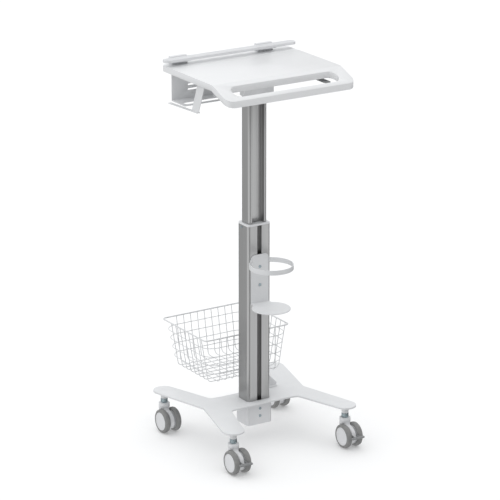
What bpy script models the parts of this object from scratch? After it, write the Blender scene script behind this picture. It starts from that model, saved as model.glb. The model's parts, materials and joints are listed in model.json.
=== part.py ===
"""Height-adjustable ward trolley: a worktop with a handle slot on a telescopic aluminium column, a canister
holder and a wire basket on the column, and a four-legged steel base on twin-wheel casters.

Metres, +Z up. The front, where the user stands, faces -Y. The origin is on the floor, below the middle of the
object's footprint.
"""

import math

import bmesh
import bpy
from mathutils import Matrix, Vector

GAP = 0.0003  # clearance kept between pieces that rest on each other
ARC_STEP = math.radians(18)
WIRE_STEP = math.radians(30)

# Reach of the object ahead of and behind the column's axis, which sets the column's place over the origin
FRONT_REACH = 0.280
REAR_REACH = 0.2958
COLUMN_Y = (FRONT_REACH - REAR_REACH) / 2

# Casters
STEM_X, STEM_Y = 0.202, 0.203
WHEEL_RADIUS, WHEEL_WIDTH, WHEEL_GAP = 0.0375, 0.018, 0.0108
DISC_RADIUS = 0.0287
TRAIL = 0.023
AXLE_RADIUS, AXLE_BORE = 0.004, 0.0043
WEB_HALF = 0.0068
FENDER_RADIUS = 0.029
COLLAR_RADIUS, COLLAR_TOP = 0.017, 0.0896
STEM_RADIUS, STEM_BORE = 0.006, 0.0066
HEX_FLATS, HEX_TOP = 0.019, 0.1035
PEDAL_PIVOT = (-0.044, 0.044)
PEDAL_HALF, PEDAL_LEVEL = 0.022, 0.0435

# Base
PLATE_TOP, PLATE_THICK = 0.130, 0.005
PLATE_BOTTOM = PLATE_TOP - PLATE_THICK
LEG_END = 0.0335
BAR_HALF, NOTCH_X, NOTCH_Y, VEE_X = 0.057, 0.121, 0.061, 0.182
FOOT_HALF_X, FOOT_HALF_Y, FOOT_BOTTOM, FOOT_WALL = 0.0446, 0.035, 0.0527, 0.0032
FOOT_SCREWS = (0.0801, 0.1042)

# Column: outer half sizes, the front slot of the lower profile and the front channel of the upper one
LOWER_X, LOWER_Y, LOWER_CORNER, WALL = 0.0403, 0.0305, 0.009, 0.003
LOWER_BOTTOM, LOWER_TOP = 0.0574, 0.6922
SLOT_HALF, SLOT_UNDERCUT, SLOT_DEPTH = 0.0075, 0.0100, 0.016
COLLAR_HEIGHT, RUNNING = 0.0055, 0.0004
COLLAR_SCREW_Y, COLLAR_SCREW_Z = 0.0069, 0.6851
UPPER_X, UPPER_Y, UPPER_CORNER = 0.0325, 0.0229, 0.0083
UPPER_BOTTOM, UPPER_TOP = 0.540, 1.138
CHANNEL_HALF, CHANNEL_DEPTH = 0.0215, 0.017
SPRING_Y, SPRING_RADIUS, SPRING_WALL, ROD_RADIUS = 0.0085, 0.0105, 0.002, 0.005

# Worktop
TOP_Z, TOP_THICK, TOP_HALF = 1.1806, 0.0183, 0.224
TOP_REAR, CREASE, TOP_FRONT, LIP_DROP = 0.168, 0.126, 0.2135, 0.033
REAR_CORNER, FRONT_CORNER, EDGE_ROUND = 0.020, 0.026, 0.002
HANDLE_HALF, HANDLE_REAR, HANDLE_FRONT = 0.184, 0.1455, 0.1965
STRIP_Y, STRIP_STEP = 0.101, 0.0008
UNDERSIDE = TOP_Z - TOP_THICK

# Release lever's pin under the worktop
LEVER_X, LEVER_Z, LEVER_PIN = 0.060, 1.1490, 0.0022

# Document rail along the rear edge
RAIL_HALF, RAIL_FRONT, RAIL_REAR, RAIL_BOTTOM, RAIL_TOP = 0.2325, 0.121, 0.151, 1.193, 1.201
BRACKET_HALF, BRACKET_LEFT, BRACKET_RIGHT = 0.0275, -0.1695, 0.1335

# Adapter tray and cable strap under the worktop's left side
TRAY_LEFT, TRAY_RIGHT, TRAY_Y, TRAY_FRONT, TRAY_Z, SHEET = -0.207, -0.060, 0.134, 0.058, 1.075, 0.002
STRAP_X, STRAP_WIDTH, STRAP_TOP_Y, STRAP_FOOT_Y, STRAP_FOOT_Z = -0.2165, 0.038, -0.052, -0.018, 1.077

# Canister holder on the front slot
HOLDER_HALF, HOLDER_TOP, HOLDER_BOTTOM, HOLDER_SHEET = 0.0315, 0.602, 0.447, 0.0025
HOLDER_SCREWS = (0.5052, 0.5634)
RING_RADIUS, RING_BAND, RING_Y, RING_HEIGHT, RING_Z = 0.0678, 0.0022, -0.0978, 0.015, 0.5815
SHELF_RADIUS, SHELF_Y = 0.059, -0.0974

# Basket
RIM_Z, RIM_WIRE, RIM_HALF, RIM_FRONT, RIM_REAR, RIM_CORNER = 0.3286, 0.0023, 0.1526, 0.037, 0.2935, 0.0125
MESH_WIRE, MESH_PITCH, MESH_LEAN, MESH_FLOOR, RING_STEP, RINGS = 0.0012, 0.0253, 0.022, 0.187, 0.0283, 4
MESH_BEND, RING_CORNER, LAYER = 0.014, 0.042, 0.0016
LONG_WIRES, CROSS_WIRES, FIRST_CROSS = 9, 8, 0.060

COLOURS = {
    "white_paint": ((0.86, 0.865, 0.87), 0.45, 0.0),
    "white_board": ((0.88, 0.885, 0.89), 0.4, 0.0),
    "aluminium": ((0.55, 0.56, 0.57), 0.38, 1.0),
    "zinc": ((0.42, 0.50, 0.53), 0.3, 1.0),
    "steel": ((0.55, 0.56, 0.58), 0.3, 1.0),
    "grey_tyre": ((0.16, 0.16, 0.165), 0.75, 0.0),
    "white_plastic": ((0.78, 0.785, 0.80), 0.4, 0.0),
    "grey_plastic": ((0.25, 0.255, 0.26), 0.5, 0.0),
    "black_plastic": ((0.03, 0.03, 0.032), 0.5, 0.0),
}


def clear_scene():
    for obj in list(bpy.data.objects):
        bpy.data.objects.remove(obj)


def new_collection(name, hidden=False):
    made = bpy.data.collections.new(name)
    made.hide_render = hidden
    bpy.context.scene.collection.children.link(made)
    return made


clear_scene()
PARTS = new_collection("ward_trolley")
CUTTERS = new_collection("cutters", hidden=True)


def material(name):
    found = bpy.data.materials.get(name)
    if found:
        return found
    colour, roughness, metallic = COLOURS[name]
    made = bpy.data.materials.new(name)
    made.use_nodes = True
    shader = made.node_tree.nodes["Principled BSDF"]
    shader.inputs["Base Color"].default_value = (*colour, 1.0)
    shader.inputs["Roughness"].default_value = roughness
    shader.inputs["Metallic"].default_value = metallic
    return made


def as_part(obj, name, look):
    """Names an object, gives it its material and files it with the parts."""
    obj.name = name
    obj.data.name = name
    obj.data.materials.clear()
    obj.data.materials.append(material(look))
    for held in list(obj.users_collection):
        held.objects.unlink(obj)
    PARTS.objects.link(obj)
    return obj


def as_cutter(obj):
    for held in list(obj.users_collection):
        held.objects.unlink(obj)
    CUTTERS.objects.link(obj)
    obj.hide_render = True
    obj.display_type = "WIRE"
    return obj


# Outlines ------------------------------------------------------------------------------------------------


def arc(cx, cy, radius, start, end, step=ARC_STEP):
    """Points along an arc, both ends included, angles in degrees."""
    sweep = math.radians(end - start)
    steps = max(2, math.ceil(abs(sweep) / step - 1e-6))
    angles = [math.radians(start) + sweep * i / steps for i in range(steps + 1)]
    return [(cx + radius * math.cos(a), cy + radius * math.sin(a)) for a in angles]


def rounded(corners, step=ARC_STEP):
    """A closed outline through (x, y, radius) corners, each rounded by its radius."""
    points = []
    for i, (x, y, radius) in enumerate(corners):
        here = Vector((x, y))
        back = (Vector(corners[i - 1][:2]) - here).normalized()
        ahead = (Vector(corners[(i + 1) % len(corners)][:2]) - here).normalized()
        if radius == 0:
            points.append((x, y))
            continue
        half = back.angle(ahead) / 2
        centre = here + (back + ahead).normalized() * (radius / math.sin(half))
        start = here + back * (radius / math.tan(half)) - centre
        sweep = start.angle_signed(here + ahead * (radius / math.tan(half)) - centre)
        steps = max(1, math.ceil(abs(sweep) / step - 1e-6))
        for k in range(steps + 1):
            turned_by = -sweep * k / steps
            spoke = Matrix.Rotation(turned_by, 2) @ start
            points.append(tuple(centre + spoke))
    return points


def box_outline(low_x, high_x, low_y, high_y, radius=0.0, step=ARC_STEP):
    corners = ((high_x, high_y), (low_x, high_y), (low_x, low_y), (high_x, low_y))
    return rounded([(x, y, radius) for x, y in corners], step)


def stadium(low_x, high_x, low_y, high_y):
    radius = (high_y - low_y) / 2
    middle = (high_y + low_y) / 2
    return arc(high_x - radius, middle, radius, -90, 90) + arc(low_x + radius, middle, radius, 90, 270)


def circle(cx, cy, radius):
    return arc(cx, cy, radius, 0, 360)[:-1]


# Shapes --------------------------------------------------------------------------------------------------

# Each matrix carries a flat outline's own X, Y and thickness to the world: the outline lies across that axis.
ACROSS = {
    "X": Matrix(((0, 0, 1, 0), (1, 0, 0, 0), (0, 1, 0, 0), (0, 0, 0, 1))),
    "Y": Matrix(((1, 0, 0, 0), (0, 0, -1, 0), (0, 1, 0, 0), (0, 0, 0, 1))),
    "Z": Matrix.Identity(4),
}


def mesh_of(curve_object):
    """Replaces a curve object by the mesh it makes, with its caps welded on."""
    bpy.context.view_layer.update()
    evaluated = curve_object.evaluated_get(bpy.context.evaluated_depsgraph_get())
    mesh = bpy.data.meshes.new_from_object(evaluated)
    shape = bmesh.new()
    shape.from_mesh(mesh)
    bmesh.ops.remove_doubles(shape, verts=shape.verts, dist=1e-6)
    shape.to_mesh(mesh)
    shape.free()
    made = bpy.data.objects.new(curve_object.name, mesh)
    made.matrix_world = curve_object.matrix_world
    PARTS.objects.link(made)
    bpy.data.objects.remove(curve_object)
    return made


def prism(loops, axis, low, high):
    """An outline, with any holes after it, extruded from low to high along an axis."""
    curve = bpy.data.curves.new("outline", "CURVE")
    curve.dimensions = "2D"
    curve.fill_mode = "BOTH"
    curve.extrude = (high - low) / 2
    for loop in loops:
        spline = curve.splines.new("POLY")
        spline.points.add(len(loop) - 1)
        for point, (x, y) in zip(spline.points, loop):
            point.co = (x, y, 0, 1)
        spline.use_cyclic_u = True
    obj = bpy.data.objects.new("outline", curve)
    middle = Vector([(low + high) / 2 if name == axis else 0.0 for name in "XYZ"])
    obj.matrix_world = Matrix.Translation(middle) @ ACROSS[axis]
    PARTS.objects.link(obj)
    return mesh_of(obj)


def box(low, high):
    """A box between two corners."""
    size = Vector(high) - Vector(low)
    bpy.ops.mesh.primitive_cube_add(size=1, location=(Vector(low) + Vector(high)) / 2)
    obj = bpy.context.object
    obj.scale = size
    bpy.ops.object.transform_apply(location=False, rotation=False, scale=True)
    return obj


def rod(radius, start, end, sides=16):
    """A solid cylinder between two points."""
    start, end = Vector(start), Vector(end)
    bpy.ops.mesh.primitive_cylinder_add(vertices=sides, radius=radius, depth=(end - start).length)
    obj = bpy.context.object
    turn = Vector((0, 0, 1)).rotation_difference(end - start)
    obj.matrix_world = Matrix.Translation((start + end) / 2) @ turn.to_matrix().to_4x4()
    return obj


def turned(profile, steps, closed=False):
    """A profile of (radius, height) points, down its outer side, turned about Z."""
    mesh = bpy.data.meshes.new("profile")
    edges = [(i, i + 1) for i in range(len(profile) - 1)]
    if closed:
        edges.append((len(profile) - 1, 0))
    mesh.from_pydata([(r, 0, z) for r, z in profile], edges, [])
    obj = bpy.data.objects.new("turned", mesh)
    PARTS.objects.link(obj)
    screw = obj.modifiers.new("Turn", "SCREW")
    screw.steps = steps
    screw.render_steps = steps
    screw.use_merge_vertices = True
    screw.merge_threshold = 0.00001
    return obj


def wire(points, radius, resolution, cyclic=False):
    """A wire along a route, with closed ends."""
    curve = bpy.data.curves.new("wire", "CURVE")
    curve.dimensions = "3D"
    curve.bevel_depth = radius
    curve.bevel_resolution = resolution
    curve.use_fill_caps = True
    spline = curve.splines.new("POLY")
    spline.points.add(len(points) - 1)
    for point, place in zip(spline.points, points):
        point.co = (*place, 1)
    spline.use_cyclic_u = cyclic
    obj = bpy.data.objects.new("wire", curve)
    PARTS.objects.link(obj)
    return mesh_of(obj)


def combine(obj, other, operation):
    change = obj.modifiers.new(operation.title(), "BOOLEAN")
    change.operation = operation
    change.object = as_cutter(other)
    return obj


def cut(obj, *others):
    for other in others:
        combine(obj, other, "DIFFERENCE")
    return obj


def join(obj, *others):
    for other in others:
        combine(obj, other, "UNION")
    return obj


def soften(obj, width, segments=2, angle=40):
    """Rounds the edges sharper than an angle."""
    edge = obj.modifiers.new("Edges", "BEVEL")
    edge.width = width
    edge.segments = segments
    edge.limit_method = "ANGLE"
    edge.angle_limit = math.radians(angle)
    edge.use_clamp_overlap = True
    return obj


def smooth(obj, angle=35):
    obj.data.shade_smooth()
    obj.data.set_sharp_from_angle(angle=math.radians(angle))
    return obj


def pivot(name, place):
    """An empty on a joint's axis, which carries the pieces that move with it."""
    empty = bpy.data.objects.new(name, None)
    empty.location = place
    empty.empty_display_size = 0.02
    PARTS.objects.link(empty)
    return empty


def ride(empty, *pieces):
    for piece in pieces:
        piece.parent = empty
        piece.matrix_parent_inverse = Matrix.Translation(-Vector(empty.location))


def shift(obj, x=0.0, y=0.0, z=0.0):
    """Moves a piece, together with the shapes that cut it or join it."""
    bpy.context.view_layer.update()
    by = Matrix.Translation((x, y, z))
    tools = [m.object for m in obj.modifiers if m.type == "BOOLEAN"]
    for each in (obj, *tools):
        each.matrix_world = by @ each.matrix_world
    return obj


# Casters -------------------------------------------------------------------------------------------------


def tyre(side):
    """The grey tread of one wheel; side is -1 or 1 along X."""
    half = WHEEL_WIDTH / 2
    shoulder, crown = WHEEL_RADIUS - 0.0035, half - 0.0035
    profile = [
        (DISC_RADIUS + GAP, half),
        (shoulder, half),
        (WHEEL_RADIUS, crown),
        (WHEEL_RADIUS, -crown),
        (shoulder, -half),
        (DISC_RADIUS + GAP, -half),
    ]
    obj = smooth(turned(profile, 24, closed=True))
    obj.matrix_world = wheel_place(side)
    return obj


def disc(side):
    """The white core of one wheel, with a blind bore for the axle on its inner face."""
    half = WHEEL_WIDTH / 2 - 0.0006
    profile = [
        (0, half),
        (DISC_RADIUS, half),
        (DISC_RADIUS, -half),
        (AXLE_BORE, -half),
        (AXLE_BORE, half - 0.005),
        (0, half - 0.005),
    ]
    obj = smooth(turned(profile, 20))
    obj.matrix_world = wheel_place(side)
    return obj


def wheel_place(side):
    """Carries a turned wheel, whose outer face looks up, to its place beside the swivel's web."""
    turn = Matrix.Rotation(side * math.pi / 2, 4, "Y")
    middle = side * (WHEEL_GAP + WHEEL_WIDTH / 2)
    return Matrix.Translation((middle, -TRAIL, WHEEL_RADIUS)) @ turn


def caster_housing(with_pedal):
    """The swivel: a web between the wheels under a round collar, bored for the stem and for the axle."""
    axle_at = (-TRAIL, WHEEL_RADIUS)
    web = arc(*axle_at, FENDER_RADIUS, 40, -270, math.radians(24))
    web += [(-0.0155, 0.0700), (0.0155, 0.0700), (0.0155, 0.0610)]
    obj = prism([web], "X", -WEB_HALF, WEB_HALF)
    groove = 0.0757
    collar = turned(
        [
            (0, COLLAR_TOP),
            (COLLAR_RADIUS - 0.0016, COLLAR_TOP),
            (COLLAR_RADIUS, COLLAR_TOP - 0.0016),
            (COLLAR_RADIUS, groove + 0.0006),
            (COLLAR_RADIUS - 0.001, groove),
            (COLLAR_RADIUS, groove - 0.0006),
            (COLLAR_RADIUS, 0.0650),
            (0, 0.0650),
        ],
        18,
    )
    join(obj, collar)
    well = WHEEL_RADIUS + 0.0013
    for side in (-1, 1):
        inner, outer = side * (WEB_HALF + 0.0028), side * 0.030
        cut(obj, rod(well, (inner, *axle_at), (outer, *axle_at), 24))
    cut(obj, rod(STEM_BORE, (0, 0, 0.0585), (0, 0, COLLAR_TOP + 0.002), 16))
    cut(obj, rod(AXLE_BORE, (-0.02, *axle_at), (0.02, *axle_at), 12))
    if with_pedal:
        cut(obj, rod(0.0026, (-0.02, *PEDAL_PIVOT), (0.02, *PEDAL_PIVOT), 12))
    return smooth(obj)


def caster_stem():
    """The hexagon on which the swivel hangs, with its pin below and its threaded shank above."""
    hexagon = rod(HEX_FLATS / math.sqrt(3), (0, 0, COLLAR_TOP + 0.0004), (0, 0, HEX_TOP), 6)
    join(hexagon, rod(STEM_RADIUS, (0, 0, 0.061), (0, 0, 0.096), 16))
    join(hexagon, rod(0.005, (0, 0, 0.097), (0, 0, 0.1215), 12))
    return hexagon


def brake_pedal():
    """A crossbar ahead of the wheels on two cheeks, which hang on a pin through the web."""
    pivot_y, pivot_z = PEDAL_PIVOT
    bar_rear, bar_front = -0.067, -0.077
    bar = prism([box_outline(-PEDAL_HALF, PEDAL_HALF, bar_front, bar_rear, 0.003)], "Z", 0.0412, 0.0458)
    cheek = rounded(
        [
            (pivot_y + 0.004, pivot_z + 0.004, 0.003),
            (bar_rear - 0.003, PEDAL_LEVEL + 0.002, 0),
            (bar_rear - 0.003, PEDAL_LEVEL - 0.002, 0),
            (pivot_y + 0.004, pivot_z - 0.004, 0.003),
        ]
    )
    for side in (-1, 1):
        near, far = sorted((side * (WEB_HALF + 0.0004), side * (WHEEL_GAP - 0.0006)))
        join(bar, prism([cheek], "X", near, far))
    reach = WEB_HALF + 0.002
    join(bar, rod(0.002, (-reach, pivot_y, pivot_z), (reach, pivot_y, pivot_z), 12))
    return smooth(bar)


def caster(label, x, y, with_pedal):
    """One twin-wheel caster below (x, y), its swivel trailing towards the front."""
    as_part(shift(caster_stem(), x, y), f"caster_{label}_stem", "zinc")
    swivel = pivot(f"caster_{label}_swivel_axis", (x, y, WHEEL_RADIUS))
    housing = as_part(shift(caster_housing(with_pedal), x, y), f"caster_{label}_housing", "white_plastic")
    reach = WHEEL_GAP + WHEEL_WIDTH - 0.007
    axle = rod(AXLE_RADIUS, (-reach, -TRAIL, WHEEL_RADIUS), (reach, -TRAIL, WHEEL_RADIUS), 12)
    axle = as_part(shift(smooth(axle), x, y), f"caster_{label}_axle", "steel")
    ride(swivel, housing, axle)
    for hand, side in (("left", -1), ("right", 1)):
        spin = pivot(f"caster_{label}_{hand}_spin_axis", (x, y - TRAIL, WHEEL_RADIUS))
        tread = as_part(shift(tyre(side), x, y), f"caster_{label}_tyre_{hand}", "grey_tyre")
        core = as_part(shift(disc(side), x, y), f"caster_{label}_wheel_{hand}", "white_plastic")
        ride(spin, tread, core)
        ride(swivel, spin)
    if with_pedal:
        hinge = pivot(f"caster_{label}_pedal_axis", (x, y + PEDAL_PIVOT[0], PEDAL_PIVOT[1]))
        pedal = as_part(shift(brake_pedal(), x, y), f"caster_{label}_brake_pedal", "grey_plastic")
        ride(hinge, pedal)
        ride(swivel, hinge)


# Base ----------------------------------------------------------------------------------------------------


def leg_end():
    """One leg's round end, about its stem, between the lines that run to the vee and to the notch."""
    angles = []
    for (x, y), side in (((VEE_X, 0), 1), ((NOTCH_X, NOTCH_Y), -1)):
        away = math.hypot(x - STEM_X, y - STEM_Y)
        towards = math.atan2(y - STEM_Y, x - STEM_X)
        angles.append(math.degrees(towards + side * math.acos(LEG_END / away)))
    return arc(STEM_X, STEM_Y, LEG_END, angles[0], angles[1] + 360)


def quarter_outline():
    """The plate's outline in the +X, +Y quarter, from the vee round the leg to the middle bar."""
    end = [(x, y, 0) for x, y in leg_end()]
    return [*end, (NOTCH_X, NOTCH_Y, 0.016), (0.085, BAR_HALF, 0.03)]


def base_plate():
    """The flat steel plate: a middle bar, four legs with round ends and a welded boss under each end."""
    quarter = quarter_outline()
    half = quarter + [(-x, y, radius) for x, y, radius in reversed(quarter)] + [(-VEE_X, 0, 0.014)]
    corners = half + [(-x, -y, radius) for x, y, radius in half]
    hole = box_outline(-LOWER_X - GAP, LOWER_X + GAP, -LOWER_Y - GAP, LOWER_Y + GAP, LOWER_CORNER)
    plate = prism([rounded(corners), hole], "Z", PLATE_BOTTOM, PLATE_TOP)
    soften(plate, 0.0009, 1)
    for side_x in (-1, 1):
        for side_y in (-1, 1):
            boss = turned(
                [
                    (0, PLATE_BOTTOM + 0.001),
                    (0.0125, PLATE_BOTTOM + 0.001),
                    (0.0102, HEX_TOP + GAP),
                    (0.0054, HEX_TOP + GAP),
                    (0.0054, PLATE_BOTTOM - 0.003),
                    (0, PLATE_BOTTOM - 0.003),
                ],
                16,
            )
            boss.location = (side_x * STEM_X, side_y * STEM_Y, 0)
            join(plate, boss)
    return as_part(shift(plate, y=COLUMN_Y), "base_plate", "white_paint")


def foot_housing():
    """The cover below the plate around the column's foot: a cup, open at the top."""
    corner = 0.010
    outer = box_outline(-FOOT_HALF_X, FOOT_HALF_X, -FOOT_HALF_Y, FOOT_HALF_Y, corner)
    inner_x, inner_y = FOOT_HALF_X - FOOT_WALL, FOOT_HALF_Y - FOOT_WALL
    inner = box_outline(-inner_x, inner_x, -inner_y, inner_y, corner - FOOT_WALL)
    cup = prism([outer], "Z", FOOT_BOTTOM, PLATE_BOTTOM - GAP)
    cut(cup, prism([inner], "Z", FOOT_BOTTOM + FOOT_WALL, PLATE_BOTTOM + 0.005))
    for level in FOOT_SCREWS:
        cut(cup, rod(0.0028, (0, -FOOT_HALF_Y - 0.002, level), (0, -inner_y + 0.002, level), 12))
    as_part(shift(smooth(cup), y=COLUMN_Y), "foot_housing", "white_plastic")
    for name, level in zip(("foot_screw_lower", "foot_screw_upper"), FOOT_SCREWS):
        fitted = screw(0.0046, 0.0022, 0.0024, 0.0085)
        as_part(shift(fitted, y=COLUMN_Y - FOOT_HALF_Y - GAP, z=level), name, "zinc")


def screw(head, head_height, shank, length):
    """A hexagon-socket button screw whose head looks towards -Y, with its seat on the XZ plane."""
    profile = [
        (0, head_height),
        (head * 0.62, head_height),
        (head * 0.92, head_height * 0.55),
        (head, 0),
        (shank, 0),
        (shank, -length),
        (0, -length),
    ]
    obj = turned(profile, 16)
    socket = rod(head * 0.38, (0, 0, head_height * 0.4), (0, 0, head_height + 0.001), 6)
    cut(obj, socket)
    turn = Matrix.Rotation(math.pi / 2, 4, "X")
    for each in (obj, socket):
        each.matrix_world = turn @ each.matrix_world
    return smooth(obj)


# Column --------------------------------------------------------------------------------------------------


def lower_column():
    """The outer profile: a tube with a T-slot down the front for clamped holders."""
    x, y, half, under = LOWER_X, LOWER_Y, SLOT_HALF, SLOT_UNDERCUT
    lip, floor = -y + WALL, -y + SLOT_DEPTH
    outer = rounded(
        [
            (x, y, LOWER_CORNER),
            (-x, y, LOWER_CORNER),
            (-x, -y, LOWER_CORNER),
            (-half, -y, 0),
            (-half, lip, 0),
            (-under, lip, 0),
            (-under, floor, 0),
            (under, floor, 0),
            (under, lip, 0),
            (half, lip, 0),
            (half, -y, 0),
            (x, -y, LOWER_CORNER),
        ]
    )
    inner_x, inner_y, corner = x - WALL, y - WALL, LOWER_CORNER - WALL
    hump, crest = under + WALL, floor + WALL
    inner = rounded(
        [
            (inner_x, inner_y, corner),
            (-inner_x, inner_y, corner),
            (-inner_x, -inner_y, corner),
            (-hump, -inner_y, 0),
            (-hump, crest, 0),
            (hump, crest, 0),
            (hump, -inner_y, 0),
            (inner_x, -inner_y, corner),
        ]
    )
    obj = prism([outer, inner], "Z", LOWER_BOTTOM, LOWER_TOP)
    cut(obj, collar_bore(-1), collar_bore(1))
    as_part(shift(smooth(obj), y=COLUMN_Y), "lower_column", "aluminium")


def guide_collar():
    """The white cap on the lower profile, open for the upper one, with a tongue in its front channel."""
    open_x, open_y = UPPER_X + RUNNING, UPPER_Y + RUNNING
    tongue, tip = CHANNEL_HALF - RUNNING, CHANNEL_DEPTH - UPPER_Y - RUNNING
    outer = box_outline(-LOWER_X, LOWER_X, -LOWER_Y, LOWER_Y, LOWER_CORNER)
    inner = rounded(
        [
            (open_x, open_y, UPPER_CORNER),
            (-open_x, open_y, UPPER_CORNER),
            (-open_x, -open_y, UPPER_CORNER),
            (-tongue, -open_y, 0),
            (-tongue, tip, 0),
            (tongue, tip, 0),
            (tongue, -open_y, 0),
            (open_x, -open_y, UPPER_CORNER),
        ]
    )
    cap = prism([outer, inner], "Z", LOWER_TOP + GAP, LOWER_TOP + COLLAR_HEIGHT)
    as_part(shift(smooth(cap), y=COLUMN_Y), "guide_collar", "white_plastic")


def collar_bore(side):
    """A cutter for one collar screw's shank, along X through the lower profile and into the sleeve."""
    place = (COLLAR_SCREW_Y, COLLAR_SCREW_Z)
    return rod(0.0020, (side * (LOWER_X - WALL - 0.0036), *place), (side * (LOWER_X + 0.002), *place), 12)


def collar_screws():
    """The two small screws through the lower profile's sides that hold the glide sleeve."""
    place = (COLLAR_SCREW_Y, COLLAR_SCREW_Z)
    for name, side in (("collar_screw_left", -1), ("collar_screw_right", 1)):
        seat = side * (LOWER_X + GAP)
        fitted = rod(0.0034, (seat, *place), (seat + side * 0.0014, *place), 16)
        join(fitted, rod(0.0016, (seat - side * 0.0055, *place), (seat + side * 0.0005, *place), 12))
        cut(fitted, rod(0.0014, (seat + side * 0.0006, *place), (seat + side * 0.0030, *place), 6))
        as_part(shift(fitted, y=COLUMN_Y), name, "zinc")


def glide_sleeve():
    """The plastic liner that guides the upper profile, open at the front around the T-slot's hump."""
    open_x, open_y = UPPER_X + RUNNING, UPPER_Y + RUNNING
    out_x, out_y, mouth = LOWER_X - WALL - GAP, LOWER_Y - WALL - GAP, SLOT_UNDERCUT + WALL + 0.002
    liner = rounded(
        [
            (out_x, out_y, 0.0065),
            (-out_x, out_y, 0.0065),
            (-out_x, -out_y, 0.0065),
            (-mouth, -out_y, 0),
            (-mouth, -open_y, 0),
            (-open_x, -open_y, 0.006),
            (-open_x, open_y, 0.006),
            (open_x, open_y, 0.006),
            (open_x, -open_y, 0.006),
            (mouth, -open_y, 0),
            (mouth, -out_y, 0),
            (out_x, -out_y, 0.0065),
        ]
    )
    obj = prism([liner], "Z", LOWER_TOP - 0.090, LOWER_TOP - 0.002)
    cut(obj, collar_bore(-1), collar_bore(1))
    as_part(shift(smooth(obj), y=COLUMN_Y), "glide_sleeve", "black_plastic")


def upper_column(travel):
    """The sliding profile: a tube with a deep open channel down the front."""
    x, y, half = UPPER_X, UPPER_Y, CHANNEL_HALF
    floor = -y + CHANNEL_DEPTH
    outer = rounded(
        [
            (x, y, UPPER_CORNER),
            (-x, y, UPPER_CORNER),
            (-x, -y, UPPER_CORNER),
            (-half, -y, 0),
            (-half, floor, 0),
            (half, floor, 0),
            (half, -y, 0),
            (x, -y, UPPER_CORNER),
        ]
    )
    inner_x, inner_y, lobe, crest = x - WALL, y - WALL, half + WALL, floor + WALL
    inner = rounded(
        [
            (inner_x, inner_y, 0.004),
            (-inner_x, inner_y, 0.004),
            (-inner_x, -inner_y, 0.002),
            (-lobe, -inner_y, 0),
            (-lobe, crest, 0),
            (lobe, crest, 0),
            (lobe, -inner_y, 0),
            (inner_x, -inner_y, 0.002),
        ]
    )
    profile = smooth(prism([outer, inner], "Z", UPPER_BOTTOM, UPPER_TOP))
    ride(travel, as_part(shift(profile, y=COLUMN_Y), "upper_column", "aluminium"))


def gas_spring(travel):
    """The lockable gas spring: its cylinder stands in the foot and its rod holds the head up."""
    bottom, top = FOOT_BOTTOM + FOOT_WALL + GAP, 0.590
    bore = SPRING_RADIUS - SPRING_WALL
    cylinder = turned(
        [
            (ROD_RADIUS + 0.0004, top),
            (SPRING_RADIUS - 0.001, top),
            (SPRING_RADIUS, top - 0.002),
            (SPRING_RADIUS, bottom),
            (0, bottom),
            (0, bottom + 0.006),
            (bore, bottom + 0.006),
            (bore, top - 0.012),
            (ROD_RADIUS + 0.0004, top - 0.012),
        ],
        20,
        closed=True,
    )
    cylinder.location = (0, SPRING_Y, 0)
    as_part(shift(smooth(cylinder), y=COLUMN_Y), "gas_spring_cylinder", "black_plastic")
    piston, pin_top = top - 0.060, UPPER_TOP - 0.0004
    rod_shape = turned(
        [
            (0, pin_top),
            (0.0022, pin_top),
            (0.0022, pin_top - 0.006),
            (ROD_RADIUS, pin_top - 0.006),
            (ROD_RADIUS, piston),
            (bore - 0.0004, piston),
            (bore - 0.0004, piston - 0.012),
            (0, piston - 0.012),
        ],
        16,
    )
    rod_shape.location = (0, SPRING_Y, 0)
    ride(travel, as_part(shift(smooth(rod_shape), y=COLUMN_Y), "gas_spring_rod", "steel"))


def head_bracket(travel):
    """The welded head: a plate under the worktop, a front apron, two cheeks and the lever's ears."""
    top, low = UNDERSIDE - GAP, 1.092
    under = top - 0.004
    plate = prism([box_outline(-0.060, 0.060, -0.070, 0.070, 0.008)], "Z", under, top)
    apron_y = -UPPER_Y - 0.0005
    join(plate, box((-0.053, apron_y - 0.003, low), (0.053, apron_y, under + 0.001)))
    join(plate, box((-0.0285, apron_y - 0.006, low + 0.004), (0.0285, apron_y - 0.002, under + 0.001)))
    cheek = UPPER_X + 0.0005
    for side in (-1, 1):
        near, far = sorted((side * cheek, side * (cheek + 0.003)))
        join(plate, box((near, apron_y - 0.001, low), (far, UPPER_Y, under + 0.001)))
    cut(plate, box((cheek - 0.001, -0.0015, UPPER_TOP + 0.0005), (cheek + 0.004, 0.0185, under - 0.0035)))
    for ear_y in (-0.0065, 0.0200):
        ear = rounded(
            [
                (LEVER_X - 0.007, under + 0.001, 0),
                (LEVER_X + 0.007, under + 0.001, 0),
                (LEVER_X + 0.006, LEVER_Z - 0.0055, 0.005),
                (LEVER_X - 0.006, LEVER_Z - 0.0055, 0.005),
            ]
        )
        join(plate, prism([ear], "Y", ear_y, ear_y + 0.0035))
    join(plate, rod(LEVER_PIN, (LEVER_X, -0.005, LEVER_Z), (LEVER_X, 0.022, LEVER_Z), 12))
    ride(travel, as_part(shift(plate, y=COLUMN_Y), "head_bracket", "white_paint"))


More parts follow.
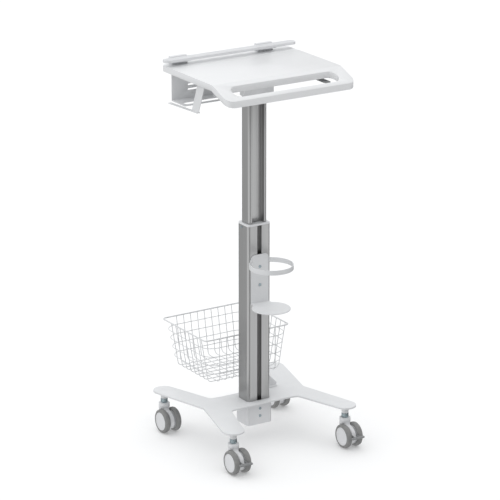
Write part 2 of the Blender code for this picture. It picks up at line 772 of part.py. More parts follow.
def release_lever(travel):
    """The flat lever under the worktop's right side; its short arm presses the gas spring's pin."""
    level = UPPER_TOP + 0.0030
    arm_rear, arm_front = 0.0160, 0.0010
    outline = rounded(
        [
            (0.172, arm_rear, 0.012),
            (-0.008, arm_rear, 0.006),
            (-0.008, arm_front, 0.006),
            (0.150, arm_front, 0.008),
            (0.150, -0.158, 0.009),
            (0.172, -0.158, 0.009),
        ]
    )
    plate = prism([outline], "Z", level, level + 0.003)
    barrel = rod(0.0055, (LEVER_X, arm_front, LEVER_Z), (LEVER_X, arm_rear, LEVER_Z), 16)
    neck = box((LEVER_X - 0.0045, arm_front, level + 0.001), (LEVER_X + 0.0045, arm_rear, LEVER_Z - 0.002))
    join(plate, barrel, neck)
    cut(plate, rod(LEVER_PIN + 0.0004, (LEVER_X, -0.002, LEVER_Z), (LEVER_X, 0.019, LEVER_Z), 16))
    hinge = pivot("release_lever_axis", (LEVER_X, COLUMN_Y + SPRING_Y, LEVER_Z))
    ride(hinge, as_part(shift(smooth(plate), y=COLUMN_Y), "release_lever", "grey_plastic"))
    ride(travel, hinge)


# Worktop -------------------------------------------------------------------------------------------------


def worktop(travel):
    """The board: flat behind the crease, sloping to the front edge, with a hand slot through the slope."""
    slope = math.atan2(LIP_DROP, TOP_FRONT - CREASE)
    below = TOP_THICK / math.cos(slope)
    turn_under = CREASE + TOP_THICK * math.tan(slope / 2)
    side = [
        (TOP_REAR, TOP_Z),
        (-CREASE, TOP_Z),
        (-TOP_FRONT, TOP_Z - LIP_DROP),
        (-TOP_FRONT, TOP_Z - LIP_DROP - below),
        (-turn_under + 2 * TOP_THICK * math.tan(slope / 2), UNDERSIDE),
        (TOP_REAR, UNDERSIDE),
    ]
    board = prism([side], "X", -TOP_HALF, TOP_HALF)
    plan = rounded(
        [
            (TOP_HALF, TOP_REAR, REAR_CORNER),
            (-TOP_HALF, TOP_REAR, REAR_CORNER),
            (-TOP_HALF, -TOP_FRONT, FRONT_CORNER),
            (TOP_HALF, -TOP_FRONT, FRONT_CORNER),
        ]
    )
    combine(board, prism([plan], "Z", 1.05, 1.25), "INTERSECT")
    cut(board, prism([stadium(-HANDLE_HALF, HANDLE_HALF, -HANDLE_FRONT, -HANDLE_REAR)], "Z", 1.05, 1.25))
    soften(board, EDGE_ROUND, 2)
    cut(board, box((-0.3, STRIP_Y, TOP_Z - STRIP_STEP), (0.3, TOP_REAR + 0.02, TOP_Z + 0.01)))
    ride(travel, as_part(shift(board, y=COLUMN_Y), "worktop", "white_board"))


def document_rail(travel):
    """The bar that stops papers and a laptop at the rear edge, with grooves along its top."""
    groove, depth, count = 0.0024, 0.0010, 4
    top = [(RAIL_FRONT, RAIL_TOP - 0.003)]
    pitch = (RAIL_REAR - RAIL_FRONT) / (count + 1)
    top.append((RAIL_FRONT + 0.003, RAIL_TOP))
    for i in range(count):
        middle = RAIL_FRONT + pitch * (i + 1)
        top += [(middle - groove / 2, RAIL_TOP), (middle - groove / 4, RAIL_TOP - depth)]
        top += [(middle + groove / 4, RAIL_TOP - depth), (middle + groove / 2, RAIL_TOP)]
    top += [(RAIL_REAR - 0.002, RAIL_TOP), (RAIL_REAR, RAIL_TOP - 0.002)]
    side = top + [(RAIL_REAR, RAIL_BOTTOM), (RAIL_FRONT + 0.002, RAIL_BOTTOM)]
    side.append((RAIL_FRONT, RAIL_BOTTOM + 0.002))
    bar = prism([side[::-1]], "X", -RAIL_HALF, RAIL_HALF)
    combine(bar, prism([stadium(-RAIL_HALF, RAIL_HALF, RAIL_FRONT, RAIL_REAR)], "Z", 1.15, 1.25), "INTERSECT")
    ride(travel, as_part(shift(bar, y=COLUMN_Y), "document_rail", "white_plastic"))
    for name, middle in (("rail_bracket_left", BRACKET_LEFT), ("rail_bracket_right", BRACKET_RIGHT)):
        rail_bracket(travel, name, middle)


def rail_bracket(travel, name, middle):
    """A C-shaped block that stands on the rear edge and carries the rail ahead of its spine."""
    foot = TOP_Z - STRIP_STEP + GAP
    seat = RAIL_BOTTOM - GAP
    spine = RAIL_REAR + GAP
    outline = [
        (0.146, foot),
        (0.146, foot + 0.003),
        (spine + 0.006, foot + 0.003),
        (spine + 0.006, seat - 0.003),
        (RAIL_FRONT + 0.006, seat - 0.003),
        (RAIL_FRONT + 0.006, seat),
        (spine, seat),
        (spine, RAIL_TOP + 0.0025),
        (TOP_REAR - 0.003, RAIL_TOP + 0.0025),
        (TOP_REAR - 0.001, RAIL_TOP + 0.0005),
        (TOP_REAR - 0.001, foot),
    ]
    obj = prism([outline], "X", middle - BRACKET_HALF, middle + BRACKET_HALF)
    ride(travel, as_part(shift(obj, y=COLUMN_Y), name, "white_plastic"))


def adapter_tray(travel):
    """The bent sheet that holds a power adapter under the left of the worktop."""
    top = UNDERSIDE - GAP
    side = [
        (TRAY_Y + 0.014, top),
        (TRAY_Y - SHEET, top),
        (TRAY_Y - SHEET, TRAY_Z),
        (TRAY_FRONT, TRAY_Z),
        (TRAY_FRONT, TRAY_Z - SHEET),
        (TRAY_Y, TRAY_Z - SHEET),
        (TRAY_Y, top - SHEET),
        (TRAY_Y + 0.014, top - SHEET),
    ]
    tray = prism([side], "X", TRAY_LEFT, TRAY_RIGHT)
    window = box_outline(TRAY_LEFT + 0.014, TRAY_RIGHT - 0.014, TRAY_FRONT + 0.013, TRAY_FRONT + 0.036, 0.004)
    cut(tray, prism([window], "Z", TRAY_Z - 0.01, TRAY_Z + 0.01))
    for level in (1.1020, 1.1165):
        slot = stadium(-0.151, -0.100, level - 0.0025, level + 0.0025)
        cut(tray, prism([slot], "Y", TRAY_Y - 0.01, TRAY_Y + 0.01))
    ride(travel, as_part(shift(tray, y=COLUMN_Y), "adapter_tray", "white_paint"))


def cable_strap(travel):
    """The flat strap that hangs from the left edge, leaning back, and the pierced strip behind its foot."""
    top = UNDERSIDE - GAP
    half = STRAP_WIDTH / 2
    lean = [
        (STRAP_TOP_Y + half, top),
        (STRAP_TOP_Y - half, top),
        (STRAP_FOOT_Y - half, STRAP_FOOT_Z - 0.002),
        (STRAP_FOOT_Y + half, STRAP_FOOT_Z - 0.002),
    ]
    strap = prism([lean], "X", STRAP_X - SHEET / 2, STRAP_X + SHEET / 2)
    tab = box_outline(STRAP_X, STRAP_X + 0.020, STRAP_TOP_Y - half, STRAP_TOP_Y + half, 0.003)
    join(strap, prism([tab], "Z", top - SHEET, top))
    strip_length, strip_half, flare = 0.146, 0.0055, 0.013
    first, last = STRAP_FOOT_Y - half, STRAP_FOOT_Y - half + strip_length
    slots = []
    count = 9
    for i in range(count):
        start = first + 0.040 + i * 0.0115
        drift = -flare * (start - first) / strip_length
        middle = STRAP_X + drift
        slots.append(
            [
                (middle - strip_half + 0.002, start),
                (middle + strip_half - 0.002, start + 0.004),
                (middle + strip_half - 0.002, start + 0.009),
                (middle - strip_half + 0.002, start + 0.005),
            ]
        )
    outline = [
        (STRAP_X - strip_half, first),
        (STRAP_X + strip_half, first),
        (STRAP_X + strip_half - flare, last),
        (STRAP_X - strip_half - flare, last),
    ]
    join(strap, prism([outline, *slots], "Z", STRAP_FOOT_Z - SHEET, STRAP_FOOT_Z))
    ride(travel, as_part(shift(strap, y=COLUMN_Y), "cable_strap", "white_paint"))


# Holder and basket on the column -------------------------------------------------------------------------


def ring_outline(end):
    """An open band around the front whose two ends run straight back beside the holder's plate."""
    near = HOLDER_HALF + GAP
    far = near + RING_BAND
    inner_radius = RING_RADIUS - RING_BAND
    outer_turn = math.degrees(math.asin(far / RING_RADIUS))
    inner_turn = math.degrees(math.asin(near / inner_radius))
    outer = arc(0, RING_Y, RING_RADIUS, 90 + outer_turn, 450 - outer_turn)
    inner = arc(0, RING_Y, inner_radius, 90 + inner_turn, 450 - inner_turn)
    return outer + [(far, end), (near, end)] + inner[::-1] + [(-near, end), (-far, end)]


def canister_holder():
    """A plate clamped on the front slot, its foot bent forward into a round shelf, and a ring above it."""
    back = -LOWER_Y - GAP
    front = back - HOLDER_SHEET
    half = HOLDER_HALF
    plate_outline = rounded(
        [
            (half, HOLDER_TOP, 0.014),
            (-half, HOLDER_TOP, 0.014),
            (-half, HOLDER_BOTTOM, 0),
            (half, HOLDER_BOTTOM, 0),
        ]
    )
    plate = prism([plate_outline], "Y", front, back)
    join_angle = math.degrees(math.asin(half / SHELF_RADIUS))
    shelf_outline = arc(0, SHELF_Y, SHELF_RADIUS, 90 + join_angle, 450 - join_angle)
    inside, buried = half - 0.0003, back - HOLDER_SHEET / 2
    shelf_outline += [(inside, front), (inside, buried), (-inside, buried), (-inside, front)]
    join(plate, prism([shelf_outline], "Z", HOLDER_BOTTOM - 0.001, HOLDER_BOTTOM + HOLDER_SHEET - 0.001))
    for level in HOLDER_SCREWS:
        cut(plate, rod(0.0028, (0, front - 0.002, level), (0, back + 0.002, level), 12))
    as_part(shift(smooth(plate), y=COLUMN_Y), "canister_shelf", "white_paint")
    ring = prism([ring_outline(back)], "Z", RING_Z - RING_HEIGHT / 2, RING_Z + RING_HEIGHT / 2)
    as_part(shift(smooth(ring), y=COLUMN_Y), "canister_ring", "white_paint")
    for name, level in zip(("holder_screw_lower", "holder_screw_upper"), HOLDER_SCREWS):
        fitted = shift(screw(0.0050, 0.0024, 0.0024, 0.0095), y=front - GAP)
        nut = box((-0.0088, -LOWER_Y + WALL + GAP, -0.0085), (0.0088, -LOWER_Y + WALL + 0.0045, 0.0085))
        join(fitted, nut)
        as_part(shift(fitted, y=COLUMN_Y, z=level), name, "zinc")


def ring_route(inset, height, corner):
    """The corner points of one level of the basket's wall, as a closed route."""
    low_x, high_x = inset - RIM_HALF, RIM_HALF - inset
    outline = box_outline(low_x, high_x, RIM_FRONT - LAYER, RIM_REAR - inset, corner, WIRE_STEP)
    return [(x, y, height) for x, y in outline]


def wall_inset(height):
    """How far a leaning wall has come in at a height."""
    return MESH_LEAN * (RIM_Z - height) / (RIM_Z - MESH_FLOOR)


def bent_route(high_a, low_a, low_b, high_b, top):
    """A wire down one wall, across the floor and up the other wall, as (position, height) points."""
    bend = MESH_BEND
    lower = arc(low_a + bend, MESH_FLOOR + bend, bend, 180, 270, WIRE_STEP)
    upper = arc(low_b - bend, MESH_FLOOR + bend, bend, 270, 360, WIRE_STEP)
    return [(high_a, top)] + lower + upper + [(high_b, top)]


def basket():
    """The wire basket: a thick rim, four rings and a grid of wires bent down, across and up again."""
    rim = box_outline(-RIM_HALF, RIM_HALF, RIM_FRONT, RIM_REAR, RIM_CORNER)
    rim = wire([(x, y, RIM_Z) for x, y in rim], RIM_WIRE, 1, cyclic=True)
    as_part(shift(smooth(rim), y=COLUMN_Y), "basket_rim", "white_paint")
    top = RIM_Z - RIM_WIRE - GAP
    wires = []
    for i in range(LONG_WIRES):
        x = (i - (LONG_WIRES - 1) / 2) * MESH_PITCH
        route = bent_route(RIM_FRONT, RIM_FRONT, RIM_REAR - MESH_LEAN, RIM_REAR, top)
        wires.append(wire([(x, y, z) for y, z in route], MESH_WIRE, 0))
    for i in range(CROSS_WIRES):
        y = FIRST_CROSS + i * MESH_PITCH
        low = RIM_HALF - MESH_LEAN
        route = bent_route(-RIM_HALF, -low, low, RIM_HALF, top)
        lowered = [(x, y, z - LAYER if z < top else z) for x, z in route]
        wires.append(wire(lowered, MESH_WIRE, 0))
    for i in range(RINGS):
        height = RIM_Z - RING_STEP * (i + 1)
        inset = wall_inset(height) - LAYER
        wires.append(wire(ring_route(inset, height, RING_CORNER), MESH_WIRE, 0, cyclic=True))
    body = wires[0]
    join(body, *wires[1:])
    as_part(shift(body, y=COLUMN_Y), "basket_mesh", "white_paint")


def basket_bracket():
    """The plate on the column's back, with two hooks that hold the rim from below."""
    plate_rear = LOWER_Y + GAP + 0.003
    plate = prism([box_outline(-0.0225, 0.0225, 0.250, 0.3225, 0.004)], "Y", LOWER_Y + GAP, plate_rear)
    seat = RIM_Z - RIM_WIRE - GAP
    reach = RIM_FRONT + RIM_WIRE + GAP
    hook = [
        (plate_rear - 0.001, seat - 0.003),
        (reach + 0.0025, seat - 0.003),
        (reach + 0.0025, RIM_Z + 0.001),
        (reach, RIM_Z + 0.001),
        (reach, seat),
        (plate_rear - 0.001, seat),
    ]
    for side in (-1, 1):
        low, high = sorted((side * 0.0060, side * 0.0190))
        join(plate, prism([hook], "X", low, high))
    join(plate, box((-0.0225, LOWER_Y + GAP, 0.3160), (0.0225, plate_rear, seat)))
    as_part(shift(plate, y=COLUMN_Y), "basket_bracket", "white_paint")


def cable_hook():
    """A small angle on the base plate beside the column's back, its upright cut off on a slant."""
    foot = PLATE_TOP + GAP
    upright = rounded(
        [
            (0.115, foot, 0.001),
            (0.117, foot + 0.009, 0.002),
            (0.092, foot + 0.034, 0.003),
            (0.084, foot + 0.034, 0.003),
            (0.084, foot, 0.001),
        ]
    )
    angle = prism([upright], "Y", 0.0520, 0.0540)
    join(angle, prism([box_outline(0.084, 0.114, 0.0420, 0.0540, 0.003)], "Z", foot, foot + 0.002))
    as_part(shift(angle, y=COLUMN_Y), "cable_hook", "white_paint")


def build():
    base_plate()
    foot_housing()
    lower_column()
    guide_collar()
    glide_sleeve()
    collar_screws()
    canister_holder()
    basket()
    basket_bracket()
    cable_hook()
    travel = pivot("column_travel", (0, COLUMN_Y, UPPER_BOTTOM))
    upper_column(travel)
    gas_spring(travel)
    head_bracket(travel)
    release_lever(travel)
    worktop(travel)
    document_rail(travel)
    adapter_tray(travel)
    cable_strap(travel)
    for label, side_x, side_y in (("fl", -1, -1), ("fr", 1, -1), ("rl", -1, 1), ("rr", 1, 1)):
        caster(label, side_x * STEM_X, side_y * STEM_Y + COLUMN_Y, with_pedal=side_y < 0)


build()
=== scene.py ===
"""The looks of a height-adjustable ward trolley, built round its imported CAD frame.

Metres, +Z up, the front faces -Y. Every piece is built in place, so its object sits at the origin and its
material's object coordinates are metres on the trolley.
"""

import json
import math

import bmesh
import bpy
from mathutils import Matrix, Vector


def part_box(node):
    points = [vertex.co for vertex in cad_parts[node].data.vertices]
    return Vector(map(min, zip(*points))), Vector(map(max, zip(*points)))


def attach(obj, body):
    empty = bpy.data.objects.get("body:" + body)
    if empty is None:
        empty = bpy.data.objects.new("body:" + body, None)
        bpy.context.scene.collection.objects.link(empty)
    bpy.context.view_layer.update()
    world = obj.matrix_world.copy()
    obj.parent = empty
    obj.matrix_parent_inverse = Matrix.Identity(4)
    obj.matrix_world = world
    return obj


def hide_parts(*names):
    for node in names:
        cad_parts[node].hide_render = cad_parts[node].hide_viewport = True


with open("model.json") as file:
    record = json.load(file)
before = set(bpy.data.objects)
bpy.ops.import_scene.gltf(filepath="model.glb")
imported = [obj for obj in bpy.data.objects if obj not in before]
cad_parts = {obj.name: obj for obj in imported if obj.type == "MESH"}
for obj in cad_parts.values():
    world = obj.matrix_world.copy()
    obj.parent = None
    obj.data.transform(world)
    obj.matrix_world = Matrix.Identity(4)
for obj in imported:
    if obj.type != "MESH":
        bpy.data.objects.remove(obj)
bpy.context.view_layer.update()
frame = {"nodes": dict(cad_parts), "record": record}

FINE = math.radians(6)  # step of a fine arc
GAP = 0.0003


# Sizes read from the frame ------------------------------------------------------------------------------


def low(node):
    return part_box(node)[0]


def high(node):
    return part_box(node)[1]


AXIS_Y = (low("lower_column").y + high("lower_column").y) / 2
TOP_Z, TOP_HALF = high("worktop").z, high("worktop").x
TOP_REAR, TOP_FRONT = high("worktop").y, low("worktop").y
PLATE_TOP, PLATE_THICK = high("base_plate").z, 0.005
WHEEL_RADIUS = high("caster_fl_tyre_left").z / 2
SHEET_BEND = 0.0006  # edge rounding of bent sheet
STEM_X = (low("caster_fr_stem").x + high("caster_fr_stem").x) / 2
RIM_Z = (low("basket_rim").z + high("basket_rim").z) / 2
LOWER_Y, LOWER_CORNER = 0.0305, 0.009
UPPER_Y, UPPER_CORNER = 0.0229, 0.0083
CHANNEL_HALF, CHANNEL_DEPTH, RUNNING = 0.0215, 0.017, 0.0004
WALL = 0.003


# Materials ----------------------------------------------------------------------------------------------


class Look:
    """A procedural material: a Principled shader with helpers that add texture to it."""

    def __init__(self, name, colour, roughness, metallic=0.0, **constants):
        self.material = bpy.data.materials.new(name)
        self.material.use_nodes = True
        self.tree = self.material.node_tree
        self.shader = self.tree.nodes["Principled BSDF"]
        self.colour = colour
        self.shader.inputs["Base Color"].default_value = (*colour, 1.0)
        self.shader.inputs["Roughness"].default_value = roughness
        self.shader.inputs["Metallic"].default_value = metallic
        for socket, value in constants.items():
            self.shader.inputs[socket.replace("_", " ")].default_value = value
        self.place = self.tree.nodes.new("ShaderNodeTexCoord").outputs["Object"]
        self.height = None

    def link(self, source, target):
        self.tree.links.new(source, target)

    def noise(self, scale, detail=2.0, stretch=(1, 1, 1), distortion=0.0):
        mapping = self.tree.nodes.new("ShaderNodeMapping")
        mapping.inputs["Scale"].default_value = stretch
        self.link(self.place, mapping.inputs["Vector"])
        node = self.tree.nodes.new("ShaderNodeTexNoise")
        node.inputs["Scale"].default_value = scale
        node.inputs["Detail"].default_value = detail
        node.inputs["Distortion"].default_value = distortion
        self.link(mapping.outputs["Vector"], node.inputs["Vector"])
        return node.outputs["Fac"]

    def spread(self, value, low_in, high_in, low_out, high_out):
        node = self.tree.nodes.new("ShaderNodeMapRange")
        for socket, number in (
            ("From Min", low_in),
            ("From Max", high_in),
            ("To Min", low_out),
            ("To Max", high_out),
        ):
            node.inputs[socket].default_value = number
        self.link(value, node.inputs["Value"])
        return node.outputs["Result"]

    def vary_colour(self, value, other, low_in=0.35, high_in=0.65):
        """Mixes the colour made so far with another one where value is high."""
        mix = self.tree.nodes.new("ShaderNodeMix")
        mix.data_type = "RGBA"
        target = self.shader.inputs["Base Color"]
        if target.is_linked:
            self.link(target.links[0].from_socket, mix.inputs["A"])
        else:
            mix.inputs["A"].default_value = (*self.colour, 1.0)
        mix.inputs["B"].default_value = (*other, 1.0)
        self.link(self.spread(value, low_in, high_in, 0.0, 1.0), mix.inputs["Factor"])
        self.link(mix.outputs["Result"], target)
        return self

    def vary_roughness(self, value, low_out, high_out):
        self.link(self.spread(value, 0.3, 0.7, low_out, high_out), self.shader.inputs["Roughness"])
        return self

    def bump(self, value, strength, distance):
        node = self.tree.nodes.new("ShaderNodeBump")
        node.inputs["Strength"].default_value = strength
        node.inputs["Distance"].default_value = distance
        self.link(value, node.inputs["Height"])
        if self.height is not None:
            self.link(self.height, node.inputs["Normal"])
        self.height = node.outputs["Normal"]
        self.link(self.height, self.shader.inputs["Normal"])
        return self


def powder_coat(name, colour, roughness=0.42):
    """Baked powder paint: a faint orange peel, and a tone that drifts a little over a hand's width."""
    look = Look(name, colour, roughness)
    look.vary_colour(look.noise(9.0, 3.0), tuple(c * 0.972 for c in colour))
    look.vary_colour(look.noise(260.0, 2.0), tuple(c * 0.985 for c in colour), 0.55, 0.8)
    look.vary_roughness(look.noise(40.0, 3.0), roughness - 0.05, roughness + 0.07)
    return look.bump(look.noise(720.0, 2.0), 0.10, 0.00012)


def moulded(name, colour, roughness=0.38, grain=1100.0):
    """Injection-moulded plastic: a fine even grain and slight flow marks."""
    look = Look(name, colour, roughness)
    look.vary_colour(look.noise(14.0, 2.0, (1, 1, 0.4), 0.6), tuple(c * 0.965 for c in colour))
    look.vary_roughness(look.noise(70.0, 2.0), roughness - 0.05, roughness + 0.06)
    return look.bump(look.noise(grain, 1.0), 0.12, 0.0001)


def board_face():
    """The worktop's satin skin, a shade glossier than the painted steel."""
    look = Look("board_skin", (0.865, 0.87, 0.878), 0.34, Coat_Weight=0.12, Coat_Roughness=0.25)
    look.vary_colour(look.noise(5.0, 3.0), (0.850, 0.855, 0.864))
    look.vary_roughness(look.noise(24.0, 4.0, distortion=0.4), 0.29, 0.42)
    return look.bump(look.noise(520.0, 3.0), 0.07, 0.0001)


def extruded(name, colour, roughness):
    """Anodised extrusion: fine die lines along its length, in tone, gloss and relief."""
    look = Look(name, colour, roughness, 1.0, Anisotropic=0.45)
    lines = look.noise(1.0, 3.0, (900, 900, 2.2))
    broad = look.noise(1.0, 2.0, (150, 150, 0.9))
    look.vary_colour(lines, tuple(c * 0.955 for c in colour), 0.4, 0.62)
    look.vary_colour(broad, tuple(c * 0.975 for c in colour), 0.45, 0.7)
    look.vary_roughness(broad, roughness - 0.03, roughness + 0.05)
    return look.bump(lines, 0.04, 0.00002)


def plated(name, colour, roughness):
    """Bright zinc: cool, with a faint mottle where the passivation is uneven."""
    look = Look(name, colour, roughness, 1.0)
    look.vary_colour(look.noise(220.0, 3.0), tuple(c * 0.78 for c in colour))
    look.vary_roughness(look.noise(400.0, 2.0), roughness - 0.05, roughness + 0.10)
    return look.bump(look.noise(900.0, 2.0), 0.10, 0.00006)


def tread():
    """Grey non-marking rubber: a dull grain, dusty on the running face."""
    look = Look("caster_rubber", (0.295, 0.294, 0.290), 0.70)
    look.vary_colour(look.noise(90.0, 4.0), (0.25, 0.25, 0.248))
    look.vary_colour(look.noise(600.0, 2.0), (0.33, 0.328, 0.322), 0.62, 0.82)
    look.vary_roughness(look.noise(150.0, 3.0), 0.64, 0.82)
    return look.bump(look.noise(1500.0, 2.0), 0.25, 0.00015)


LOOKS = {
    "white_paint": powder_coat("white_powder_coat", (0.785, 0.792, 0.802)),
    "white_board": board_face(),
    "aluminium": extruded("anodised_extrusion", (0.43, 0.43, 0.428), 0.30),
    "zinc": plated("zinc_plate", (0.43, 0.51, 0.54), 0.26),
    "steel": plated("ground_steel", (0.56, 0.565, 0.57), 0.28),
    "grey_tyre": tread(),
    "white_plastic": moulded("white_moulding", (0.81, 0.816, 0.83)),
    "grey_plastic": moulded("grey_moulding", (0.27, 0.275, 0.28), 0.45),
    "black_plastic": moulded("black_moulding", (0.02, 0.02, 0.021), 0.5),
    "black_paint": powder_coat("grey_enamel", (0.24, 0.245, 0.25), 0.35),
}
SLOTS = {entry["node"]: entry["material_slot"] for entry in frame["record"]["subparts"]}
BODY_OF = {node: body for body, nodes in frame["record"]["behaviour"]["bodies"].items() for node in nodes}


# Outlines -----------------------------------------------------------------------------------------------


def arc(cx, cy, radius, start, end, step=FINE):
    """Points along an arc, both ends included, angles in degrees."""
    sweep = math.radians(end - start)
    steps = max(2, math.ceil(abs(sweep) / step - 1e-6))
    angles = [math.radians(start) + sweep * i / steps for i in range(steps + 1)]
    return [(cx + radius * math.cos(a), cy + radius * math.sin(a)) for a in angles]


def rounded(corners, step=FINE):
    """A closed outline through (x, y, radius) corners, each rounded by its radius."""
    points = []
    for i, (x, y, radius) in enumerate(corners):
        if radius == 0:
            points.append((x, y))
            continue
        here = Vector((x, y))
        back = (Vector(corners[i - 1][:2]) - here).normalized()
        ahead = (Vector(corners[(i + 1) % len(corners)][:2]) - here).normalized()
        half = back.angle(ahead) / 2
        centre = here + (back + ahead).normalized() * (radius / math.sin(half))
        start = here + back * (radius / math.tan(half)) - centre
        sweep = start.angle_signed(here + ahead * (radius / math.tan(half)) - centre)
        steps = max(1, math.ceil(abs(sweep) / step - 1e-6))
        for k in range(steps + 1):
            points.append(tuple(centre + Matrix.Rotation(-sweep * k / steps, 2) @ start))
    return points


def box_outline(low_x, high_x, low_y, high_y, radius, step=FINE):
    corners = ((high_x, high_y), (low_x, high_y), (low_x, low_y), (high_x, low_y))
    return rounded([(x, y, radius) for x, y in corners], step)


def stadium(low_x, high_x, low_y, high_y):
    radius, middle = (high_y - low_y) / 2, (high_y + low_y) / 2
    return arc(high_x - radius, middle, radius, -90, 90) + arc(low_x + radius, middle, radius, 90, 270)


def circle(cx, cy, radius):
    return arc(cx, cy, radius, 0, 360)[:-1]


# Shapes -------------------------------------------------------------------------------------------------

ACROSS = {
    "X": Matrix(((0, 0, 1, 0), (1, 0, 0, 0), (0, 1, 0, 0), (0, 0, 0, 1))),
    "Y": Matrix(((1, 0, 0, 0), (0, 0, -1, 0), (0, 1, 0, 0), (0, 0, 0, 1))),
    "Z": Matrix.Identity(4),
}


def settle(obj):
    """Turns an object's curve, modifiers and placement into one plain mesh at the origin."""
    bpy.context.view_layer.update()
    evaluated = obj.evaluated_get(bpy.context.evaluated_depsgraph_get())
    mesh = bpy.data.meshes.new_from_object(evaluated)
    mesh.transform(obj.matrix_world)
    shape = bmesh.new()
    shape.from_mesh(mesh)
    bmesh.ops.remove_doubles(shape, verts=shape.verts, dist=1e-6)
    shape.to_mesh(mesh)
    shape.free()
    made = bpy.data.objects.new(obj.name, mesh)
    bpy.context.scene.collection.objects.link(made)
    bpy.data.objects.remove(obj)
    return made


def prism(loops, axis, start, end):
    """An outline, with any holes after it, extruded from start to end along an axis."""
    curve = bpy.data.curves.new("outline", "CURVE")
    curve.dimensions = "2D"
    curve.fill_mode = "BOTH"
    curve.extrude = (end - start) / 2
    for loop in loops:
        spline = curve.splines.new("POLY")
        spline.points.add(len(loop) - 1)
        for point, (x, y) in zip(spline.points, loop):
            point.co = (x, y, 0, 1)
        spline.use_cyclic_u = True
    obj = bpy.data.objects.new("outline", curve)
    middle = Vector([(start + end) / 2 if name == axis else 0.0 for name in "XYZ"])
    obj.matrix_world = Matrix.Translation(middle) @ ACROSS[axis]
    bpy.context.scene.collection.objects.link(obj)
    return settle(obj)


def turned(profile, steps=72, closed=False, place=Matrix.Identity(4)):
    """A profile of (radius, height) points turned about Z, then placed."""
    mesh = bpy.data.meshes.new("profile")
    edges = [(i, i + 1) for i in range(len(profile) - 1)]
    if closed:
        edges.append((len(profile) - 1, 0))
    mesh.from_pydata([(r, 0, z) for r, z in profile], edges, [])
    obj = bpy.data.objects.new("turned", mesh)
    bpy.context.scene.collection.objects.link(obj)
    screw = obj.modifiers.new("Turn", "SCREW")
    screw.steps = screw.render_steps = steps
    screw.use_merge_vertices = True
    screw.merge_threshold = 0.00001
    obj.matrix_world = place
    return settle(obj)


def wire(points, radius, cyclic=False, sides=3):
    """A round wire along a route."""
    curve = bpy.data.curves.new("wire", "CURVE")
    curve.dimensions = "3D"
    curve.bevel_depth = radius
    curve.bevel_resolution = sides
    curve.use_fill_caps = True
    spline = curve.splines.new("POLY")
    spline.points.add(len(points) - 1)
    for point, place in zip(spline.points, points):
        point.co = (*place, 1)
    spline.use_cyclic_u = cyclic
    obj = bpy.data.objects.new("wire", curve)
    bpy.context.scene.collection.objects.link(obj)
    return settle(obj)


def combine(obj, others, operation):
    for other in others:
        change = obj.modifiers.new("Shape", "BOOLEAN")
        change.operation = operation
        change.object = other
        obj = settle(obj)
        bpy.data.objects.remove(other)
    return obj


def cut(obj, *others):
    return combine(obj, others, "DIFFERENCE")


def weld(obj, *others):
    return combine(obj, others, "UNION")


def gather(objects):
    """Several meshes as one object."""
    shape = bmesh.new()
    for obj in objects:
        shape.from_mesh(obj.data)
    made = objects[0]
    shape.to_mesh(made.data)
    shape.free()
    for obj in objects[1:]:
        bpy.data.objects.remove(obj)
    return made


def soften(obj, width, segments=3, angle=32):
    edge = obj.modifiers.new("Edges", "BEVEL")
    edge.width = width
    edge.segments = segments
    edge.limit_method = "ANGLE"
    edge.angle_limit = math.radians(angle)
    return settle(obj)


def smooth(obj, angle=38):
    obj.data.shade_smooth()
    obj.data.set_sharp_from_angle(angle=math.radians(angle))
    return obj


def piece(obj, name, node, *more_nodes):
    """Names a finished piece and lets it stand for its CAD nodes, with the first one's body and finish."""
    smooth(obj)
    obj.name = obj.data.name = name
    obj.data.materials.clear()
    obj.data.materials.append(LOOKS[SLOTS[node]].material)
    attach(obj, BODY_OF[node])
    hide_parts(node, *more_nodes)
    return obj


def eased(node, width):
    """A copy of a CAD node with its flat faces made whole and its edges rounded."""
    obj = bpy.data.objects.new("eased", frame["nodes"][node].data.copy())
    bpy.context.scene.collection.objects.link(obj)
    shape = bmesh.new()
    shape.from_mesh(obj.data)
    bmesh.ops.remove_doubles(shape, verts=shape.verts, dist=1e-5)
    bmesh.ops.dissolve_limit(shape, angle_limit=math.radians(1), verts=shape.verts, edges=shape.edges)
    shape.to_mesh(obj.data)
    shape.free()
    return piece(soften(obj, width, 2), node + "_eased", node)


def from_axis(obj, x=0.0, y=AXIS_Y, z=0.0):
    """Moves a shape that was built about the column's axis to its place."""
    obj.data.transform(Matrix.Translation((x, y, z)))
    return obj


# Worktop ------------------------------------------------------------------------------------------------


def worktop():
    """The board: flat behind its crease, sloping to the front edge, with a hand slot through the slope."""
    thick, crease, drop = 0.0183, AXIS_Y - 0.126, 0.033
    slope = math.atan2(drop, crease - TOP_FRONT)
    below = thick / math.cos(slope)
    underside = TOP_Z - thick
    turn = crease + thick * math.tan(slope / 2)
    side = rounded(
        [
            (TOP_REAR, TOP_Z, 0),
            (crease, TOP_Z, 0.006),
            (TOP_FRONT, TOP_Z - drop, 0),
            (TOP_FRONT, TOP_Z - drop - below, 0),
            (turn, underside, 0.006),
            (TOP_REAR, underside, 0),
        ]
    )
    board = prism([side], "X", -TOP_HALF, TOP_HALF)
    plan = rounded(
        [
            (TOP_HALF, TOP_REAR, 0.020),
            (-TOP_HALF, TOP_REAR, 0.020),
            (-TOP_HALF, TOP_FRONT, 0.026),
            (TOP_HALF, TOP_FRONT, 0.026),
        ]
    )
    board = combine(board, [prism([plan], "Z", 1.05, 1.25)], "INTERSECT")
    slot = stadium(-0.184, 0.184, AXIS_Y - 0.1965, AXIS_Y - 0.1455)
    board = cut(board, prism([slot], "Z", 1.05, 1.25))
    board = soften(board, 0.0024, 3)
    strip = box_outline(-0.3, 0.3, AXIS_Y + 0.101, TOP_REAR + 0.02, 0.0)
    board = cut(board, prism([strip], "Z", TOP_Z - 0.0008, TOP_Z + 0.01))
    piece(board, "worktop_board", "worktop")


